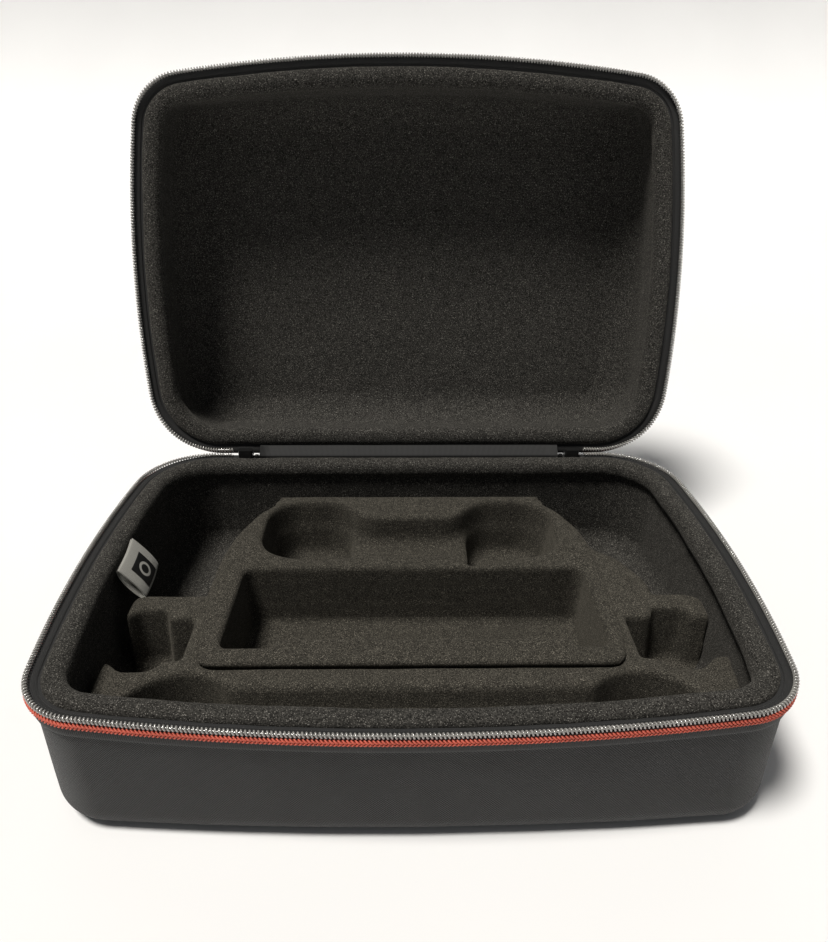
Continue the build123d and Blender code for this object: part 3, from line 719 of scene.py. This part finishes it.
insert = space.carved(insert, channel, 26 * MM, INSERT_TOP, 3.5 * MM, 8 * MM, draft=0.2)
# The case's wall, which the insert stops just short of
rise = space.z / WALL_TOP["base"]
low_walls, high_walls = (space.plan(outline(CAVITY_INSET + 0.4 * MM, at))[:, :, None] for at in (0, 1))
walls = low_walls + (high_walls - low_walls) * rise + DRAFT * (1 - rise)
insert = np.maximum(np.maximum(insert, walls), FLOOR + 0.2 * MM - space.z)
points, faces = space.surface(insert)
moulding = new_piece("base_insert_moulding", points, faces, VELVET, "base")
ruffle(moulding, 26 * MM, 0.35 * MM, 11)
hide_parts("base_insert")

flange = np.maximum(space.raised(tray_plan, TRAY_TOP, 2.2 * MM), TRAY_TOP - TRAY_FLANGE - space.z)
body = space.raised(tray_plan + 2 * MM, TRAY_TOP, MM, draft=0.02)
tray = np.minimum(flange, body)
dock = rounded([
    (-93, -45.5, 5), (-67, -45.5, 2), (-66, -39.5, 2), (78, -39.5, 2), (79, -45.5, 2), (96, -45.5, 5),
    (95, 18.6, 7), (-91.5, 18.6, 7),
])
tray = space.carved(tray, space.plan(dock), 9.5 * MM, TRAY_TOP, 3 * MM, 5 * MM, draft=0.05)
lobes = np.minimum(space.box(-59.5, 59.5, 26.5, 29, 20), space.box(59.5, 59.5, 26.5, 29, 20))
saddle = space.box(0, 50.5, 60, 20, 5)
finger = space.disc(39.5 * MM, 35.5 * MM, 14.5 * MM)
deep = soft_min(lobes, finger, 6 * MM)
tray = space.carved(tray, deep, 9.5 * MM, TRAY_TOP, 3 * MM, 8 * MM, draft=0.1)
whole = soft_min(soft_min(saddle, lobes, 16 * MM), finger, 5 * MM)
tray = space.carved(tray, whole, 28 * MM, TRAY_TOP, 3 * MM, 8 * MM, draft=0.1)
tray = np.maximum(tray, 8 * MM - space.z)
points, faces = space.surface(tray)
tray_piece = new_piece("lift_out_tray", points, faces, TRAY_VELVET, "tray")
ruffle(tray_piece, 30 * MM, 0.3 * MM, 14)
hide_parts("upper_tray")


# ---------------------------------------------------------------- the woven label


def ribbon(path, low_x, high_x, thickness, along_axis="y"):
    """Strip of cloth: an open line in the plane across the axis, run between two places along it."""
    path = np.asarray(path)
    ahead = np.gradient(path, axis=0)
    across = np.c_[-ahead[:, 1], ahead[:, 0]] / np.linalg.norm(ahead, axis=1)[:, None] * thickness / 2
    loop = np.vstack([path + across, (path - across)[::-1]])
    places = np.linspace(low_x, high_x, 24)
    if along_axis == "y":
        rows = [np.c_[loop[:, 0], np.full(len(loop), p), loop[:, 1]] for p in places]
    else:
        rows = [np.c_[np.full(len(loop), p), loop] for p in places]
    columns = len(loop)
    faces = grid_faces(len(places), columns)
    length = np.r_[0, np.cumsum(np.linalg.norm(np.diff(path, axis=0), axis=1))]
    v = np.r_[length, length[::-1]]
    uv = np.stack([places[faces // columns] - low_x, v[faces % columns]], -1).reshape(-1, 2)
    faces = faces.tolist() + [list(range(columns)), list(range(columns * 23, columns * 24))[::-1]]
    uv = np.vstack([uv, np.zeros((2 * columns, 2))])
    return np.vstack(rows), faces, uv, length[-1]


def spline(points, count):
    """Smooth open line through the points."""
    points = np.array(points, float)
    ends = np.vstack([2 * points[0] - points[1], points, 2 * points[-1] - points[-2]])
    line = []
    for k in range(1, len(points)):
        t = np.linspace(0, 1, 16, endpoint=k == len(points) - 1)[:, None]
        a, b, c, d = ends[k - 1 : k + 3]
        line.append(0.5 * (2 * b + (c - a) * t + (2 * a - 5 * b + 4 * c - d) * t**2 + (3 * b - a - 3 * c + d) * t**3))
    line = np.vstack(line)
    along = np.r_[0, np.cumsum(np.linalg.norm(np.diff(line, axis=0), axis=1))]
    want = np.linspace(0, along[-1], count)
    return np.c_[[np.interp(want, along, line[:, i]) for i in (0, 1)]].T


label_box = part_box("label_loop")
label_low, label_high = label_box[0].y, label_box[1].y
hang = np.array([(-151.8, 61.5), (-149.8, 59.4), (-146.2, 55), (-142.6, 49.8), (-140.6, 45.6), (-140.3, 44.0),
                 (-141.4, 43.7), (-144.5, 46.2), (-148.8, 51.6), (-151.6, 56.8), (-152.6, 60.9)]) * MM
loop_line = spline(hang, 70)
points, faces, uv, loop_length = ribbon(loop_line, label_low, label_high, 0.35 * MM)
tilt = (points[:, 1] - label_low) / (label_high - label_low)
points[:, 2] += (tilt - 0.3) * 3.0 * MM
points[:, 0] += np.sin(tilt * math.pi) * 0.8 * MM
label = new_piece("woven_label", points, faces, LABEL, "base", uv)
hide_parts("label_loop")

# The printed square lies on the loop's face that shows
square = loop_line[9:32] + np.array([0.3, 0.3]) * MM * 1.2
middle_y = (label_low + label_high) / 2
points, faces, uv, _ = ribbon(square, middle_y - 7 * MM, middle_y + 7 * MM, 0.12 * MM)
uv = uv / (14 * MM)
tilt = (points[:, 1] - label_low) / (label_high - label_low)
points[:, 2] += (tilt - 0.3) * 3.0 * MM
points[:, 0] += np.sin(tilt * math.pi) * 0.8 * MM
print_piece = new_piece("label_mark", points, faces, INK, "base", uv)
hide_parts("label_print")


# ---------------------------------------------------------------- the cloth hinge

FOLD_HALF = 2.2 * MM
LEAF = 13.0 * MM
HINGE_THICKNESS = 1.0 * MM
strip_y = BACK_Y - COVER_INSET + HINGE_THICKNESS / 2 + 0.1 * MM
inner_y = BACK_Y - 6 * MM + HINGE_THICKNESS / 2 + 0.1 * MM
inner_low = WALL_TOP["base"] + 0.1 * MM
inner_bend = WALL_TOP["base"] + 2.6 * MM
for name, corners, node in (
    ("hinge_cloth_outside", [
        (strip_y, HINGE_Z - FOLD_HALF - LEAF), (strip_y, HINGE_Z - FOLD_HALF),
        opened(strip_y, HINGE_Z + FOLD_HALF), opened(strip_y, HINGE_Z + FOLD_HALF + LEAF),
    ], "hinge_outer_strip"),
    ("hinge_cloth_inside", [
        (inner_y, inner_low), (inner_y, inner_bend),
        opened(inner_y, 2 * HINGE_Z - inner_bend), opened(inner_y, 2 * HINGE_Z - inner_low),
    ], "hinge_inner_strip"),
):
    corners = np.array(corners)
    line = np.vstack([np.linspace(corners[k], corners[k + 1], 12, endpoint=k == 2) for k in range(3)])
    for _ in range(2):
        line[1:-1] = (line[:-2] + 2 * line[1:-1] + line[2:]) / 4
    points, faces, uv, length = ribbon(line, -HINGE_HALF_LENGTH, HINGE_HALF_LENGTH, HINGE_THICKNESS, "x")
    strip = new_piece(name, points, faces, HINGE_CLOTH, None, uv)
    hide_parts(node)
    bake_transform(strip)


# ---------------------------------------------------------------- the carry handle on the lid's back

HANDLE_HALF = 62.0 * MM
HANDLE_RISE = 21.0 * MM
HANDLE_WIDTH = 24.0 * MM
STRAP = 2.4 * MM
GRIP_HALF = 28.0 * MM
GRIP_WALL = 3.0 * MM
PATCH_THICKNESS = 1.6 * MM
PATCH_LENGTH = 22.0 * MM
strap_foot = PATCH_THICKNESS + STRAP / 2


def rounded_loop(half_wide, half_thick, radius, steps=6):
    """Closed cross-section: a rectangle with rounded corners."""
    radius = min(radius, half_wide, half_thick)
    points = []
    for k, (sx, sy) in enumerate(((1, 1), (-1, 1), (-1, -1), (1, -1))):
        centre = (sx * (half_wide - radius), sy * (half_thick - radius))
        points.append(arc(centre, radius, k * math.pi / 2, (k + 1) * math.pi / 2, steps, last=True))
    return np.vstack(points)


def handle_sweep(line, sections):
    """Solid along a line drawn in (across the lid, out from the lid), one cross-section per point."""
    ahead = np.gradient(line, axis=0)
    ahead /= np.linalg.norm(ahead, axis=1)[:, None]
    out = np.c_[-ahead[:, 1], ahead[:, 0]]
    rows = []
    for place, away, section in zip(line, out, sections):
        flat = place + section[:, 1:] * away
        rows.append(np.c_[flat[:, 0], section[:, 0], -flat[:, 1]])
    columns = len(sections[0])
    faces = grid_faces(len(line), columns)
    along = np.r_[0, np.cumsum(np.linalg.norm(np.diff(line, axis=0), axis=1))]
    across = np.r_[0, np.cumsum(np.linalg.norm(np.diff(sections[0], axis=0), axis=1))]
    uv = np.stack([along[faces // columns], across[faces % columns]], -1).reshape(-1, 2)
    total = len(line) * columns
    faces = faces.tolist() + [list(range(columns)), list(range(total - columns, total))[::-1]]
    uv = np.vstack([uv, np.zeros((2 * columns, 2))])
    return placed(np.vstack(rows), "lid"), faces, uv


ends = HANDLE_HALF + PATCH_LENGTH
strap_line = spline(np.array([
    (-ends, strap_foot), (-HANDLE_HALF - 6 * MM, strap_foot), (-HANDLE_HALF + 1 * MM, strap_foot + 1 * MM),
    (-GRIP_HALF - 18 * MM, 14 * MM), (-GRIP_HALF - 5 * MM, HANDLE_RISE - 0.7 * MM), (-GRIP_HALF, HANDLE_RISE),
    (0, HANDLE_RISE), (GRIP_HALF, HANDLE_RISE), (GRIP_HALF + 5 * MM, HANDLE_RISE - 0.7 * MM),
    (GRIP_HALF + 18 * MM, 14 * MM), (HANDLE_HALF - 1 * MM, strap_foot + 1 * MM),
    (HANDLE_HALF + 6 * MM, strap_foot), (ends, strap_foot),
]), 150)
strap_section = rounded_loop(HANDLE_WIDTH / 2, STRAP / 2, 0.9 * MM)
points, faces, uv = handle_sweep(strap_line, [strap_section] * len(strap_line))
strap = new_piece("handle_webbing_strap", points, faces, WEBBING, "lid", uv)
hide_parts("handle_strap")

grip_line = np.c_[np.linspace(-GRIP_HALF, GRIP_HALF, 90), np.full(90, HANDLE_RISE)]
grip_sections = []
for x in grip_line[:, 0]:
    to_end = GRIP_HALF - abs(x)
    close = min(1.0, to_end / (2.5 * MM))
    swell = 0.82 + 0.18 * math.sqrt(1 - (1 - close) ** 2) + 0.05 * math.cos(x / GRIP_HALF * math.pi / 2)
    ridge = 0.25 * MM * math.cos(2 * math.pi * x / (6 * MM)) if to_end > 6 * MM else 0
    grip_sections.append(rounded_loop(
        (HANDLE_WIDTH / 2 + GRIP_WALL) * min(swell, 1.0), (STRAP / 2 + GRIP_WALL) * swell + ridge, 3.6 * MM, 10))
points, faces, uv = handle_sweep(grip_line, grip_sections)
grip = new_piece("handle_moulded_grip", points, faces, RUBBER, "lid", uv)
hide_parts("handle_grip")

for side, name in ((1, "left"), (-1, "right")):
    middle_x = side * (HANDLE_HALF + PATCH_LENGTH / 2)
    loops = []
    for shrink, depth in ((0, 0), (0, 0.9), (0.25, 1.3), (0.7, 1.55), (1.6, 1.6), (2.2, 1.45), (2.8, 1.6), (6, 1.6), (12, 1.6)):
        loop = rounded_loop(PATCH_LENGTH / 2 + (4 - shrink) * MM, HANDLE_WIDTH / 2 + (4 - shrink) * MM, 5 * MM, 10)
        loops.append(np.c_[loop[:, 0] + middle_x, loop[:, 1], np.full(len(loop), -depth * MM)])
    columns = len(loops[0])
    faces = grid_faces(len(loops), columns).tolist()
    faces += [list(range(columns)), list(range(len(loops) * columns - columns, len(loops) * columns))[::-1]]
    patch = new_piece(f"handle_anchor_{name}", placed(np.vstack(loops), "lid"), faces, PATCH, "lid")
    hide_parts(f"handle_patch_{name}")

# CAD parts whose own shape is right: hard pieces, and the shell that the cloth hides
for node, material in (
    ("base_shell", FOAM), ("lid_shell", FOAM), ("handle_rivets", RIVET),
    *((f"slider_{s}", METAL) for s in ("left", "right")), *((f"pull_{s}", METAL) for s in ("left", "right")),
    *((f"pull_grip_{s}", RUBBER) for s in ("left", "right")), *((f"zip_stop_{s}", METAL) for s in ("left", "right")),
):
    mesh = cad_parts[node].data
    mesh.materials.clear()
    mesh.materials.append(material)


# ---------------------------------------------------------------- stage, lights and camera


def floor_and_backdrop():
    """White floor that curves up behind into the backdrop."""
    m = Nodes("studio_paper", 0.9)
    m.colour(m.ramp(m.noise(3.0), (0.2, grey(0.86)), (0.8, grey(0.9))))
    line = [(-3, 0), (2.2, 0)] + [(2.2 + 0.8 * math.sin(t), 0.8 - 0.8 * math.cos(t)) for t in np.linspace(0.1, 1.5, 14)] + [(3.02, 4)]
    line = np.array(line)
    rows = [np.c_[np.full(len(line), x), line] for x in (-5, 5)]
    faces = grid_faces(2, len(line), closed_columns=False)[:, ::-1].tolist()
    mesh = bpy.data.meshes.new("studio_floor")
    mesh.from_pydata(np.vstack(rows).tolist(), [], faces)
    mesh.materials.append(m.material)
    mesh.shade_smooth()
    stage = bpy.data.objects.new("studio_floor", mesh)
    bpy.context.scene.collection.objects.link(stage)


def light(name, kind, toward, strength, **settings):
    """Light shining down the line from the direction given."""
    data = bpy.data.lights.new(name, kind)
    data.energy = strength
    for key, value in settings.items():
        setattr(data, key, value)
    lamp = bpy.data.objects.new(name, data)
    bpy.context.scene.collection.objects.link(lamp)
    lamp.location = Vector(toward)
    lamp.rotation_euler = Vector(toward).to_track_quat("Z", "Y").to_euler()
    return lamp


floor_and_backdrop()
light("ceiling_key", "SUN", (-0.29, -0.15, 0.945), 3.4, angle=math.radians(16), color=(1.0, 0.97, 0.92))
world = bpy.data.worlds.new("studio")
world.use_nodes = True
world.node_tree.nodes["Background"].inputs["Color"].default_value = (0.95, 0.97, 1.0, 1)
world.node_tree.nodes["Background"].inputs["Strength"].default_value = 0.12
bpy.context.scene.world = world
bpy.context.scene.view_settings.view_transform = "Standard"

CAMERA_PLACE = Vector((-4.306, -330.794, 297.860)) * MM
PITCH, YAW, ROLL = 0.499, 0.017, 0.006
camera_data = bpy.data.cameras.new("camera")
camera_data.sensor_width = 36.0
camera_data.sensor_fit = "AUTO"
camera_data.lens = 29.478
camera_data.clip_start = 0.01
camera = bpy.data.objects.new("camera", camera_data)
bpy.context.scene.collection.objects.link(camera)
ahead = Vector((math.sin(YAW) * math.cos(PITCH), math.cos(YAW) * math.cos(PITCH), -math.sin(PITCH)))
level = Vector((math.cos(YAW), -math.sin(YAW), 0))
up = level.cross(ahead)
right = level * math.cos(ROLL) + up * math.sin(ROLL)
up = up * math.cos(ROLL) - level * math.sin(ROLL)
turned = Matrix((right, up, -ahead)).transposed().to_4x4()
camera.matrix_world = Matrix.Translation(CAMERA_PLACE) @ turned
bpy.context.scene.camera = camera
